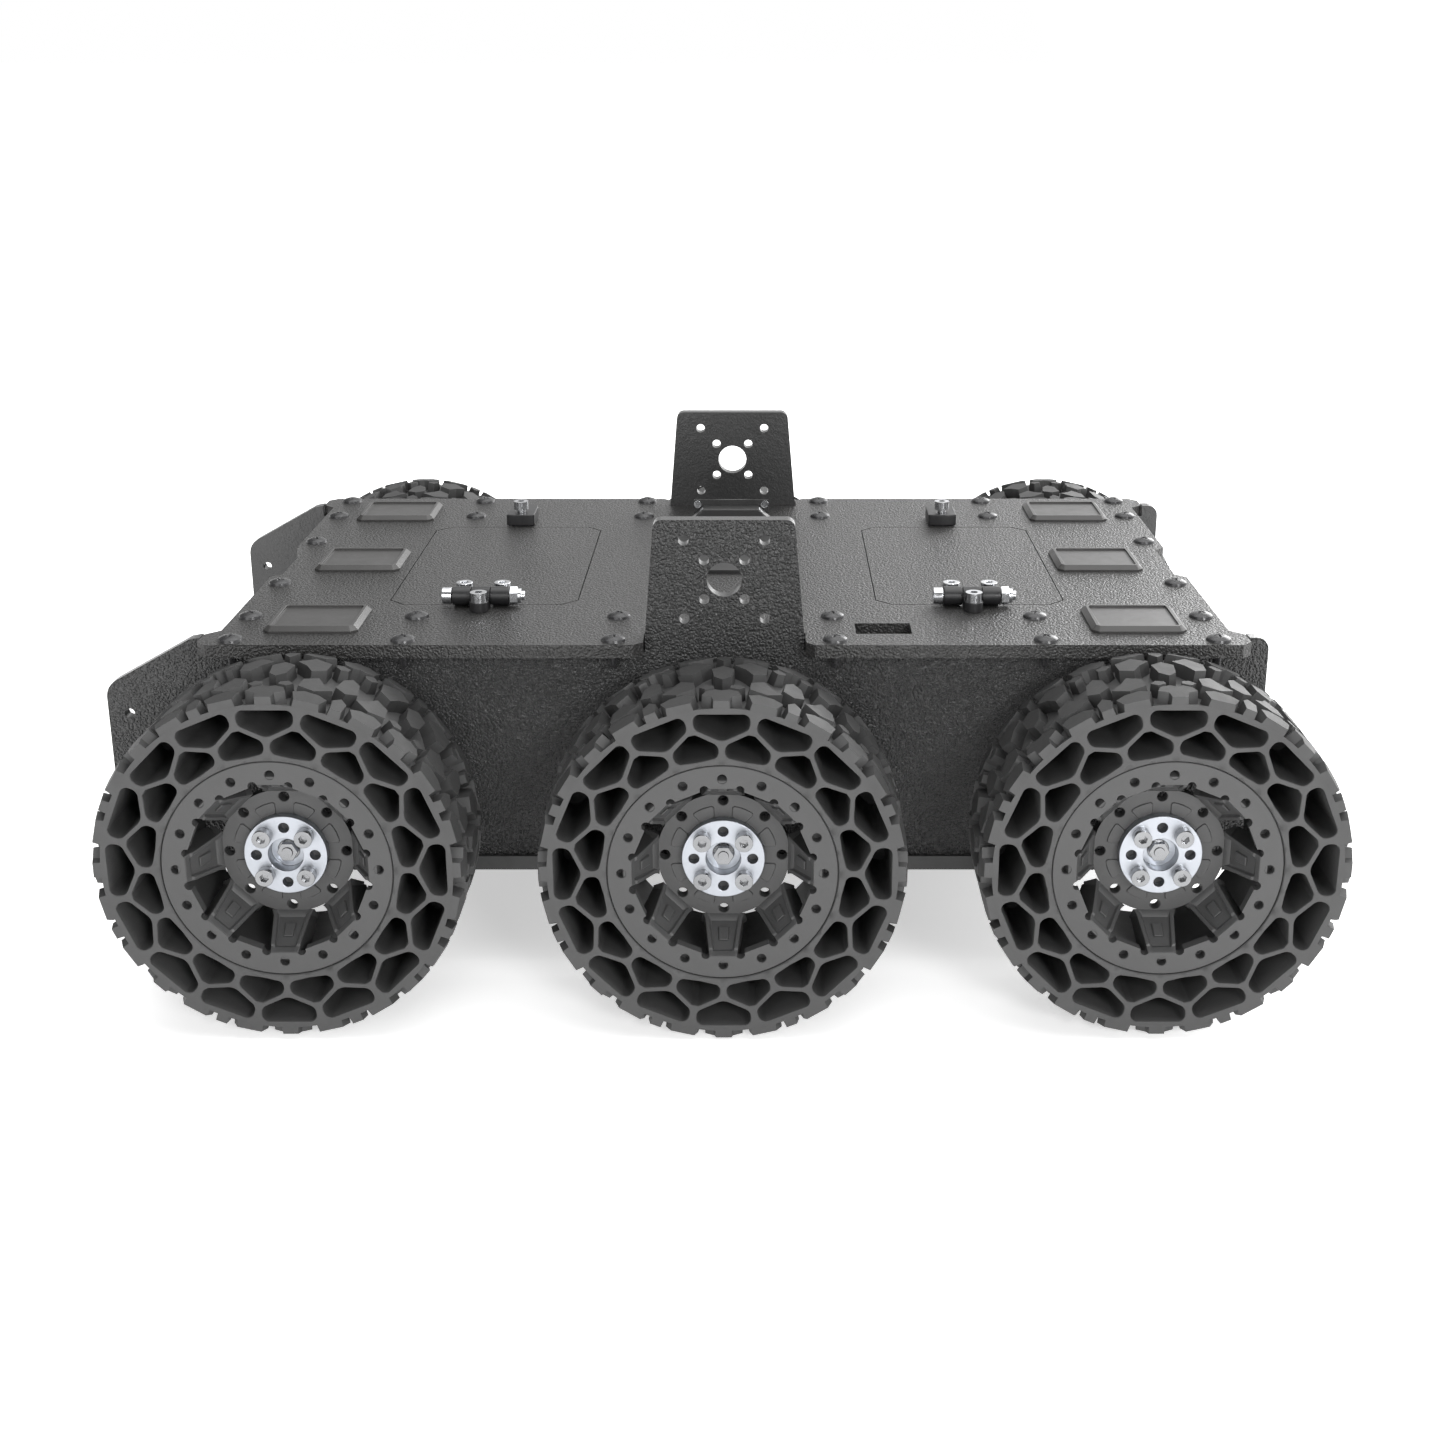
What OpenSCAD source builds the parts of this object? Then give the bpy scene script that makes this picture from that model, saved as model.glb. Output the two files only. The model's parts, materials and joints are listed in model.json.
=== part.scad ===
// Six-wheeled robot chassis with honeycomb tyres, two deck hatches and turn-button latches.
// Millimetres. The robot stands on z = 0, its length runs along x and its front is at -x.
// Its left side is at -y. Shapes are drawn around the middle axle and shifted by mid_x.

/* [Chassis] */
// Distance between neighbouring axles
axle_pitch = 168; // [150:1:190]
// How much lower the middle axles sit than the outer ones
middle_drop = 1.6; // [0:0.1:4]
// Height of the deck's top face above the outer axles
deck_over_axle = 71.4; // [71:0.1:90]
// Width of the deck plate across the robot
deck_width = 249; // [240:1:252]
// Length of the deck plate without its ears
deck_length = 406; // [396:1:420]
// How far each corner ear reaches past the deck's end
ear_reach = 5.5; // [3:0.5:8]
// Thickness of the deck plate
deck_t = 5.5; // [4:0.5:7]
// Thickness of the side, end and bottom plates
plate_t = 6; // [4:0.5:7]
// Distance between the outer faces of the two side plates
body_width = 230; // [224:1:231]
// Height of the bottom plate's top face above the ground
floor_z = 49.5; // [46:0.5:50]
// Length of the side plates in front of the middle axle
nose_length = 248.5; // [240:0.5:260]
// Length of the side plates behind the middle axle
tail_length = 217; // [212:1:230]

/* [Mounting tabs] */
// Height of the side plate's tab above the deck
tab_height = 48.2; // [44:0.1:60]
// Half width of the tab at the deck
tab_half_low = 31.8; // [28:0.1:34]
// Half width of the tab near its top
tab_half_high = 28; // [24:0.1:30]
// Height of the tab's bore above the deck
tab_bore_over_deck = 24; // [20:0.5:28]
// Diameter of the bearing bores in the side plates
bore_d = 14; // [12:1:14]
// Diameter of the screw holes of the hole patterns
hole_d = 4.2; // [3.5:0.1:4.5]

/* [Hatches] */
// Distance of each hatch's centre from the middle axle
hatch_x = 103; // [100:1:106]
// Length of each hatch opening along the robot
hatch_length = 80; // [70:1:84]
// Distance of the hatch opening's left edge from the middle line
hatch_left = 68.5; // [64:0.5:70]
// Distance of the hatch opening's right edge from the middle line
hatch_right = 64.5; // [60:0.5:66]
// Gap between a hatch lid and its opening
hatch_gap = 0.4; // [0.4:0.1:1]
// Size of the chamfers at the hatch corners
hatch_chamfer = 6.5; // [4:0.5:8]

/* [Wheels] */
// Outer radius of the tyres
tyre_r = 70.5; // [68:0.5:71]
// Width of the tyres
tyre_width = 52; // [48:0.5:52]
// Distance from the middle line to the outer face of the tyres
wheel_reach = 180; // [180:0.5:188]
// Radius of the rim that the tyre sits on
rim_r = 43.9; // [42:0.1:46]
// Number of honeycomb cells around each row of a tyre
cell_count = 16; // [12:1:18]
// Diameter of the wheel hub's disc
hub_d = 32; // [30:1:34]
// Diameter of the wheel shafts
shaft_d = 8; // [6:1:8]

/* [Hidden] */
$fn = 48;
WHEELS = ["left_front", "left_middle", "left_rear", "right_front", "right_middle", "right_rear"];

mid_x = (nose_length - axle_pitch - tyre_r) / 2;
middle_axle_z = tyre_r;
outer_axle_z = tyre_r + middle_drop;
deck_z = outer_axle_z + deck_over_axle;
deck_under = deck_z - deck_t;
wall_out = body_width / 2;
wall_in = wall_out - plate_t;
panel_x = 193;
fit_gap = 0.05;

// Columns and rows of the deck screws, from the middle axle and the middle line
column_end = 196;
column_hatch = 127.5;
column_inner = 44;
row_out = 118;
row_in = 86;
row_mid = 36;
deck_screw_places = concat(
    [for (sx = [-1, 1], sy = [-1, 1], x = [column_end, column_hatch, column_inner],
        y = [row_out, row_in]) [sx * x, sy * y]],
    [for (sx = [-1, 1], sy = [-1, 1]) [sx * column_end, sy * row_mid]]
);
end_panel_rows = [-row_in, -row_mid, row_mid, row_in];
screw_d = 3.5;
screw_reach = 12;

// The angle profile that joins the deck to the side plates
angle_t = 3;
angle_reach = 31;
angle_drop = 20;
angle_length = 380;
angle_screw_x = [-150, -20, 20, 150];
angle_screw_z = deck_under - 12;

// The blocks that join the bottom plate to the side plates
block = 12;
block_length = 60;
block_x = axle_pitch / 2;
block_screw_shift = 20;
floor_screw_y = wall_in - block / 2;
floor_panel_y = 60;

hinge_pitch = 8;
eye_w = 7.8;
eye_r = 3.9;
eye_reach = 7.7;
eye_z = deck_z + 4.3;
eye_y = -69.7;
eye_tab_top = 4.1;
bolt_d = 4;
cap_head_d = 7;
cap_head_h = 4;

latch_y = 70.7;
latch_half = 6.75;
latch_nose = 5.7;
latch_tail = 16.3;
latch_lift = 0.4;
latch_t = 5.5;
latch_head_lift = 7.6;

mount_t = 5;
mount_size = 40;
pattern = 16;

web_out = 162;
web_t = 5;
hub_face = 166;
ring_face = 179.6;
ring_t = 4;
ring_in = 34;
barrel_in = 40.4;
spoke_count = 8;
hub_boss_d = 16;
hub_hole_ring = 8 * sqrt(2);
nut_af = 7;

sheet = 1.6;
module_face = 60.4;
module_screw_x = 16.2;
module_screw_h = 12.6;
module_screw_d = 2.4;

slot_length = 22.5;
slot_width = 14.3;
slot_x = 63.8;
slot_y = -102.5;

// Turns a corner of an outline into an arc, from angle a to angle b around the point c
function arc(c, r, a, b, n = 6) =
    [for (i = [0 : n]) c + r * [cos(a + (b - a) * i / n), sin(a + (b - a) * i / n)]];
function flip_x(points) = [for (i = [len(points) - 1 : -1 : 0]) [-points[i].x, points[i].y]];
function flip_y(points) = [for (i = [len(points) - 1 : -1 : 0]) [points[i].x, -points[i].y]];
// An outline from its quarter, which runs from the x axis to the y axis
function from_quarter(q) =
    let (half = concat(q, flip_x(q))) concat(half, flip_y(half));

function wheel_x(i) = (i % 3 - 1) * axle_pitch;
function wheel_z(i) = i % 3 == 1 ? middle_axle_z : outer_axle_z;

module at_chassis() {
    translate([mid_x, 0, 0]) children();
}

// Puts a shape drawn along +z from the middle line onto wheel i's axle
module at_wheel(i) {
    at_chassis()
        translate([wheel_x(i), 0, wheel_z(i)])
            mirror([0, i > 2 ? 1 : 0, 0])
                rotate([90, 0, 0]) children();
}

module square_pattern(half) {
    for (sx = [-1, 1], sy = [-1, 1]) translate([half * sx, half * sy]) children();
}

module chamfered(x0, x1, y0, y1, c) {
    polygon([[x0 + c, y0], [x1 - c, y0], [x1, y0 + c], [x1, y1 - c],
             [x1 - c, y1], [x0 + c, y1], [x0, y1 - c], [x0, y0 + c]]);
}

module hex_prism(af, h) {
    cylinder(d = af / cos(30), h = h, $fn = 6);
}

// A socket-head cap screw, with its head on z = 0 and its shank below
module cap_screw(shank_d, shank) {
    difference() {
        cylinder(d = cap_head_d, h = cap_head_h);
        translate([0, 0, cap_head_h - 2]) hex_prism(3, 3);
    }
    translate([0, 0, -shank]) cylinder(d = shank_d, h = shank);
}

// A broad truss-head screw with a pointed tip, with its head on z = 0
module truss_screw() {
    head_r = 5;
    head_h = 2.2;
    tip = 2.5;
    rise = 1.6;
    dome_r = (head_r * head_r + rise * rise) / (2 * rise);
    rotate_extrude()
        polygon(concat([[0, 0], [head_r, 0]],
            arc([0, head_h - dome_r], dome_r, 90 - asin(head_r / dome_r), 90)));
    translate([0, 0, tip - screw_reach]) cylinder(d = screw_d, h = screw_reach - tip);
    translate([0, 0, -screw_reach]) cylinder(d1 = 0.8, d2 = screw_d, h = tip);
}

// ---- Plates ----

module hatch_outline(side, gap) {
    middle = side * hatch_x;
    chamfered(middle - hatch_length / 2 + gap, middle + hatch_length / 2 - gap,
        -hatch_left + gap, hatch_right - gap, hatch_chamfer);
}

module deck_plate() {
    lip = 4;
    lip_t = 2.5;
    end = deck_length / 2;
    ear = end + ear_reach;
    edge = deck_width / 2;
    notch = tab_half_low + 0.4;
    quarter = [[end - 4.5, 21], [end, 25.5], [end, 105], [ear, 110.5], [ear, edge - 4],
        [ear - 4, edge], [notch + 3.6, edge], [notch, edge - 3.6], [notch, wall_in - 0.3]];
    color([0.2, 0.2, 0.2]) at_chassis() difference() {
        union() {
            translate([0, 0, deck_under]) linear_extrude(deck_t) polygon(from_quarter(quarter));
            for (s = [-1, 1])
                translate([0, 0, deck_under - lip_t]) linear_extrude(lip_t + 1)
                    hatch_outline(s, -lip);
        }
        for (s = [-1, 1]) {
            translate([0, 0, deck_under]) linear_extrude(deck_t + 1) hatch_outline(s, 0);
            translate([0, 0, deck_under - lip_t - 1]) linear_extrude(lip_t + 2)
                hatch_outline(s, lip);
        }
        for (p = deck_screw_places)
            translate([p.x, p.y, deck_under - 1]) cylinder(d = screw_d, h = deck_t + 2);
        for (s = [-1, 1], y = [eye_y - eye_reach, latch_y])
            translate([s * hatch_x, y, deck_under - 1]) cylinder(d = bolt_d, h = deck_t + 2);
        translate([slot_x - slot_length / 2, slot_y - slot_width / 2, deck_under - 1])
            cube([slot_length, slot_width, deck_t + 2]);
    }
}

module bottom_plate() {
    end = deck_length / 2;
    edge = wall_out + 1.5;
    color([0.24, 0.24, 0.24]) at_chassis() difference() {
        translate([0, 0, floor_z - plate_t]) linear_extrude(plate_t)
            chamfered(-end, end, -edge, edge, 4);
        for (p = floor_screw_places())
            translate([p.x, p.y, floor_z - plate_t - 1]) cylinder(d = screw_d, h = plate_t + 2);
    }
}

function floor_screw_places() = concat(
    [for (sx = [-1, 1], sy = [-1, 1], d = [-1, 1])
        [sx * block_x + d * block_screw_shift, sy * floor_screw_y]],
    [for (sx = [-1, 1], sy = [-1, 1]) [sx * (panel_x + plate_t / 2), sy * floor_panel_y]]
);

// The side plate's outline, seen from the robot's left side
function side_outline() =
    let (corner = 3.5,
         step = deck_length / 2 + ear_reach + 0.5,
         top = deck_z + tab_height,
         slope_end = -nose_length + 6)
    concat(
        [[-nose_length + 16, floor_z], [tail_length - 10, floor_z], [tail_length, floor_z + 10]],
        arc([tail_length - 5, deck_z - 5], 5, 0, 90),
        [[step, deck_z], [step, deck_under], [tab_half_low, deck_under], [tab_half_low, deck_z]],
        arc([tab_half_high - corner, top - corner], corner, 5, 90),
        arc([corner - tab_half_high, top - corner], corner, 90, 175),
        [[-tab_half_low, deck_z], [-tab_half_low, deck_under], [-step, deck_under], [-step, deck_z]],
        [[-nose_length + 35, deck_z - 0.8]],
        arc([slope_end + 2, deck_z - 25], 8, 120, 180, 4),
        [[-nose_length, floor_z + 16]]
    );

module side_plate() {
    nose_hole_x = -240;
    nose_hole_under_deck = 32;
    translate([0, -wall_in, 0]) rotate([90, 0, 0]) difference() {
        linear_extrude(plate_t) polygon(side_outline());
        translate([0, deck_z + tab_bore_over_deck, -1]) {
            cylinder(d = bore_d, h = plate_t + 2);
            square_pattern(pattern / 2) cylinder(d = hole_d, h = plate_t + 2);
            square_pattern(pattern) cylinder(d = hole_d, h = plate_t + 2);
        }
        for (i = [0 : 2]) translate([wheel_x(i), wheel_z(i), -1]) {
            cylinder(d = bore_d, h = plate_t + 2);
            square_pattern(pattern) cylinder(d = screw_d, h = plate_t + 2);
        }
        for (x = angle_screw_x)
            translate([x, angle_screw_z, -1]) cylinder(d = screw_d, h = plate_t + 2);
        translate([nose_hole_x, deck_z - nose_hole_under_deck, -1])
            cylinder(d = hole_d, h = plate_t + 2);
    }
}

module side_plate_left() {
    color([0.18, 0.18, 0.18]) at_chassis() side_plate();
}

module side_plate_right() {
    color([0.18, 0.18, 0.18]) at_chassis() mirror([0, 1, 0]) side_plate();
}

module end_panel() {
    difference() {
        translate([panel_x, -wall_in, floor_z]) cube([plate_t, 2 * wall_in, deck_under - floor_z]);
        for (y = end_panel_rows)
            translate([column_end, y, deck_under - 8]) cylinder(d = screw_d, h = 9);
        for (s = [-1, 1])
            translate([column_end, s * floor_panel_y, floor_z - 1]) cylinder(d = screw_d, h = 9);
    }
}

module front_panel() {
    color([0.2, 0.2, 0.2]) at_chassis() mirror([1, 0, 0]) end_panel();
}

module rear_panel() {
    color([0.2, 0.2, 0.2]) at_chassis() end_panel();
}

// The two angle profiles under the deck and the four blocks on the bottom plate
module corner_rails() {
    color([0.7, 0.71, 0.73]) at_chassis() for (s = [-1, 1]) {
        mirror([0, s > 0 ? 1 : 0, 0]) difference() {
            translate([-angle_length / 2, -wall_in, 0]) union() {
                translate([0, 0, deck_under - angle_t]) cube([angle_length, angle_reach, angle_t]);
                translate([0, 0, deck_under - angle_drop])
                    cube([angle_length, angle_t, angle_drop]);
            }
            for (x = angle_screw_x)
                translate([x, -wall_in - 1, angle_screw_z]) rotate([-90, 0, 0])
                    cylinder(d = screw_d, h = angle_t + 2);
            for (sx = [-1, 1], x = [column_hatch, column_inner])
                translate([sx * x, -row_in, deck_under - angle_t - 1])
                    cylinder(d = screw_d, h = angle_t + 2);
            if (s < 0)
                translate([slot_x - slot_length / 2 - 1, slot_y - slot_width / 2 - 1,
                    deck_under - angle_drop - 1])
                    cube([slot_length + 2, slot_width + 2, angle_drop + 2]);
        }
        for (x = [-block_x, block_x])
            translate([x - block_length / 2, s > 0 ? wall_in - block : -wall_in, floor_z])
                difference() {
                    cube([block_length, block, block]);
                    for (d = [-1, 1])
                        translate([block_length / 2 + d * block_screw_shift, block / 2, -1])
                            cylinder(d = screw_d, h = 10);
                }
    }
}

module deck_pads() {
    pad_x = 166.6;
    pad_row = 92.5;
    pad_length = 38.3;
    pad_width = 34;
    pad_h = 2.7;
    rim = 4;
    corner = 3;
    l = pad_length / 2;
    w = pad_width / 2;
    quarter = concat([[l, w - corner]], arc([l - corner, w - corner], corner, 15, 75, 4),
        [[l - corner, w]]);
    color([0.22, 0.22, 0.22]) at_chassis()
        for (sx = [-1, 1], y = [-pad_row, 0, pad_row])
            translate([sx * pad_x, y, deck_z]) difference() {
                linear_extrude(pad_h) polygon(from_quarter(quarter));
                translate([rim - l, rim - w, pad_h - 0.9])
                    cube([pad_length - 2 * rim, pad_width - 2 * rim, 2]);
            }
}

// ---- Screws of the hull ----

module deck_screws() {
    color([0.12, 0.12, 0.12]) at_chassis()
        for (p = deck_screw_places) translate([p.x, p.y, deck_z]) truss_screw();
}

// A pan-head screw, with its head on z = 0 and its shank below
module pan_screw(shank) {
    cylinder(d = 7, h = 1.6);
    translate([0, 0, 1.6]) cylinder(d1 = 7, d2 = 4.6, h = 0.8);
    translate([0, 0, -shank]) cylinder(d = screw_d, h = shank);
}

module hull_screws() {
    color([0.12, 0.12, 0.12]) {
        at_chassis() {
            for (p = floor_screw_places())
                translate([p.x, p.y, floor_z - plate_t]) rotate([180, 0, 0]) pan_screw(13);
            for (s = [0, 1], x = angle_screw_x)
                mirror([0, s, 0]) translate([x, -wall_out, angle_screw_z]) rotate([90, 0, 0])
                    pan_screw(plate_t + angle_t);
        }
        for (i = [0 : 5]) at_wheel(i) translate([0, 0, wall_out])
            square_pattern(pattern) pan_screw(plate_t + mount_t);
    }
}

// ---- Hatches ----

module hatch(side) {
    lid_gap = 0.3;
    at_chassis() difference() {
        translate([0, 0, deck_under + lid_gap]) linear_extrude(deck_t - lid_gap)
            hatch_outline(side, hatch_gap);
        for (d = [-1, 1])
            translate([side * hatch_x + d * hinge_pitch, eye_y + eye_reach, deck_under - 1])
                cylinder(d = bolt_d, h = deck_t + 2);
    }
}

module hatch_front() {
    color([0.2, 0.2, 0.2]) hatch(-1);
}

module hatch_rear() {
    color([0.2, 0.2, 0.2]) hatch(1);
}

// One hinge eye: a knuckle around the origin along x, and a tab towards +y for its screw
module hinge_eye(foot, bore) {
    tab_top = deck_z + eye_tab_top - eye_z;
    low = deck_z - eye_z;
    difference() {
        union() {
            translate([-eye_w / 2, 0, 0]) rotate([0, 90, 0]) cylinder(r = eye_r, h = eye_w);
            translate([-eye_w / 2, 0, low + 0.7]) cube([eye_w, foot + 0.1, tab_top - low - 0.7]);
            translate([-eye_w / 2, foot, low]) cube([eye_w, eye_reach - foot, tab_top - low]);
            translate([0, eye_reach, low]) cylinder(d = eye_w, h = tab_top - low);
        }
        translate([-eye_w, 0, 0]) rotate([0, 90, 0]) cylinder(d = bore, h = 2 * eye_w);
        translate([0, eye_reach, low - 1]) cylinder(d = bolt_d, h = tab_top - low + 2);
        translate([0, eye_reach, tab_top]) cylinder(d = cap_head_d + 0.4, h = eye_r + 1);
    }
}

module at_hinge(side) {
    at_chassis() translate([side * hatch_x, eye_y, eye_z]) children();
}

module hinge_leaves(side) {
    at_hinge(side) for (d = [-1, 1])
        translate([d * hinge_pitch, 0, 0]) hinge_eye(2.3, bolt_d + 2 * fit_gap);
}

module hinge_leaves_front() {
    color([0.1, 0.1, 0.1]) hinge_leaves(-1);
}

module hinge_leaves_rear() {
    color([0.1, 0.1, 0.1]) hinge_leaves(1);
}

module hinge_bases() {
    color([0.1, 0.1, 0.1]) for (s = [-1, 1])
        at_hinge(s) mirror([0, 1, 0]) hinge_eye(1, bolt_d);
}

module hinge_bolts() {
    stack = 1.5 * hinge_pitch + 0.2;
    nut = 4.7;
    color([0.8, 0.81, 0.83]) for (s = [-1, 1]) at_hinge(s) rotate([0, 90, 0]) {
        translate([0, 0, -stack]) rotate([180, 0, 0]) cap_screw(bolt_d, 2 * stack + nut + 1.5);
        translate([0, 0, stack]) difference() {
            union() {
                hex_prism(7, nut - 1.5);
                cylinder(d = 6.2, h = nut);
            }
            translate([0, 0, -1]) cylinder(d = bolt_d, h = nut + 2);
        }
    }
}

module hinge_cap_screw() {
    translate([0, eye_reach, deck_z + eye_tab_top - eye_z])
        cap_screw(bolt_d, eye_tab_top + deck_t);
}

module leaf_screws(side) {
    at_hinge(side) for (d = [-1, 1]) translate([d * hinge_pitch, 0, 0]) hinge_cap_screw();
}

module leaf_screws_front() {
    color([0.8, 0.81, 0.83]) leaf_screws(-1);
}

module leaf_screws_rear() {
    color([0.8, 0.81, 0.83]) leaf_screws(1);
}

// The screws of the hinge bases, and the two small ones of the control module
module base_screws() {
    head_d = 3.6;
    head_h = 1.2;
    shank = 3;
    color([0.8, 0.81, 0.83]) for (s = [-1, 1]) {
        at_hinge(s) mirror([0, 1, 0]) hinge_cap_screw();
        at_chassis() translate([s * module_screw_x, module_face, deck_z + module_screw_h])
            rotate([90, 0, 0]) {
                cylinder(d = head_d, h = head_h);
                translate([0, 0, -shank]) cylinder(d = module_screw_d, h = shank);
            }
    }
}

// ---- Latches ----

module latch(side) {
    nose_bow = 1;
    outline = concat(
        [[latch_half, nose_bow - latch_nose], [latch_half, latch_tail - 3]],
        arc([latch_half - 3, latch_tail - 3], 3, 0, 90, 4),
        arc([3 - latch_half, latch_tail - 3], 3, 90, 180, 4),
        [[-latch_half, nose_bow - latch_nose]],
        [for (i = [-2 : 2]) [i * 2.4, nose_bow * (i * i / 8 - 1) - latch_nose + nose_bow]]
    );
    at_chassis() translate([side * hatch_x, latch_y, deck_z + latch_lift]) difference() {
        linear_extrude(latch_t) polygon(outline);
        translate([0, 0, -1]) cylinder(d = bolt_d + 2 * fit_gap, h = latch_t + 2);
    }
}

module latch_front() {
    color([0.1, 0.1, 0.1]) latch(-1);
}

module latch_rear() {
    color([0.1, 0.1, 0.1]) latch(1);
}

module latch_screws() {
    color([0.8, 0.81, 0.83]) at_chassis() for (s = [-1, 1])
        translate([s * hatch_x, latch_y, deck_z + latch_head_lift])
            cap_screw(bolt_d, latch_head_lift + deck_t + 2);
}

// ---- Control module on the deck ----

module module_bracket() {
    half = 26;
    front = -20;
    back = module_face + sheet;
    upright_half = 18;
    upright_h = 14.6;
    color([0.3, 0.3, 0.31]) at_chassis() translate([0, 0, deck_z]) difference() {
        union() {
            translate([-half, front, 0]) cube([2 * half, back - front, sheet]);
            translate([-upright_half, back - sheet, 0]) cube([2 * upright_half, sheet, upright_h]);
        }
        for (s = [-1, 1]) translate([s * module_screw_x, back + 1, module_screw_h])
            rotate([90, 0, 0]) cylinder(d = module_screw_d, h = sheet + 2);
    }
}

module module_case() {
    half = 19.5;
    depth = 8.4;
    high = 12;
    chamfer = 6;
    color([0.16, 0.16, 0.16]) at_chassis() translate([0, module_face, deck_z])
        rotate([90, 0, 0]) linear_extrude(depth)
            polygon([[-half, sheet], [half, sheet], [half, high - chamfer],
                [half - chamfer, high], [chamfer - half, high], [-half, high - chamfer]]);
}

// ---- Drive ----

module axle_bearings() {
    flange_t = 1;
    width = 6;
    color([0.62, 0.63, 0.65]) for (i = [0 : 5]) at_wheel(i)
        translate([0, 0, wall_out + flange_t - width]) difference() {
            union() {
                cylinder(d = bore_d, h = width);
                translate([0, 0, width - flange_t]) cylinder(d = bore_d + 2, h = flange_t);
            }
            translate([0, 0, -1]) cylinder(d = shaft_d + 2 * fit_gap, h = width + 2);
        }
}

module motor_mounts() {
    color([0.7, 0.71, 0.73]) for (i = [0 : 5]) at_wheel(i)
        translate([0, 0, wall_in - mount_t]) difference() {
            translate([-mount_size / 2, -mount_size / 2, 0]) cube([mount_size, mount_size, mount_t]);
            translate([0, 0, -1]) cylinder(d = bore_d, h = mount_t + 2);
            translate([0, 0, -1]) square_pattern(pattern) cylinder(d = screw_d, h = mount_t + 2);
        }
}

module gear_motors() {
    gearbox_d = 37;
    gearbox_l = 24;
    can_d = 34.5;
    can_l = 33;
    cap_l = 5;
    socket = 12;
    front = wall_in - mount_t;
    color([0.55, 0.56, 0.58]) for (i = [0 : 5]) at_wheel(i) difference() {
        union() {
            translate([0, 0, front - gearbox_l]) cylinder(d = gearbox_d, h = gearbox_l);
            translate([0, 0, front - gearbox_l - can_l]) cylinder(d = can_d, h = can_l);
            translate([0, 0, front - gearbox_l - can_l - cap_l]) cylinder(d = 12, h = cap_l);
            for (s = [-1, 1]) translate([s * 12 - 1.5, -0.4, front - gearbox_l - can_l - cap_l])
                cube([3, 0.8, cap_l]);
        }
        translate([0, 0, front - socket]) cylinder(d = shaft_d + 2 * fit_gap, h = socket + 1);
    }
}

module battery() {
    size = [138, 46, 42];
    color([0.15, 0.25, 0.45]) at_chassis()
        translate([-size.x / 2, -size.y / 2, floor_z]) cube(size);
}

module control_board() {
    size = [70, 56, 1.6];
    standoff = 6;
    centre = 127;
    color([0.05, 0.35, 0.2]) at_chassis() translate([centre, 0, floor_z]) {
        for (sx = [-1, 1], sy = [-1, 1])
            translate([sx * (size.x / 2 - 4), sy * (size.y / 2 - 4), 0])
                cylinder(d = 6, h = standoff);
        translate([-size.x / 2, -size.y / 2, standoff]) cube(size);
        for (x = [-32, -8]) translate([x, -18, standoff + size.z]) cube([16, 36, 12]);
        translate([25, -20, standoff + size.z]) cube([8, 40, 10]);
    }
}

// The power leads run in a straight bundle from the battery's end to the driver modules
module wire_harness() {
    lead_d = 3;
    battery_end = 69;
    driver_end = 95;
    color([0.6, 0.1, 0.1]) at_chassis() for (y = [-6, -2, 2, 6])
        translate([battery_end, y, floor_z + 12]) rotate([0, 90, 0])
            cylinder(d = lead_d, h = driver_end - battery_end);
}

// ---- Wheels, drawn along z from the middle line outwards ----

// One honeycomb cell: a flat side at radius flat, its tip at radius tip
module cell(flat, shoulder, tip, flat_half, shoulder_half) {
    polygon([[flat, -flat_half], [shoulder, -shoulder_half], [tip, 0],
        [shoulder, shoulder_half], [flat, flat_half]]);
}

module tyre(i) {
    inner = wheel_reach - tyre_width;
    shoulder = 8;
    side_r = tyre_r - 4;
    cell_depth = 36;
    step = 360 / cell_count;
    color([0.25, 0.25, 0.25]) at_wheel(i) difference() {
        rotate_extrude($fn = 96)
            polygon([[rim_r, inner + 2], [rim_r + 2, inner], [side_r - 1, inner],
                [side_r, inner + 1.5], [tyre_r, inner + shoulder], [tyre_r, wheel_reach - shoulder],
                [side_r, wheel_reach - 1.5], [side_r - 1, wheel_reach], [rim_r + 2, wheel_reach],
                [rim_r, wheel_reach - 2]]);
        for (k = [0 : cell_count - 1])
            translate([0, 0, wheel_reach - cell_depth]) linear_extrude(cell_depth + 1) {
                rotate(k * step) cell(64.5, 58.8, 54.4, 11, 9.6);
                rotate((k + 0.5) * step) cell(46.6, 51.2, 56.4, 7.4, 8.4);
            }
    }
}

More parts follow.
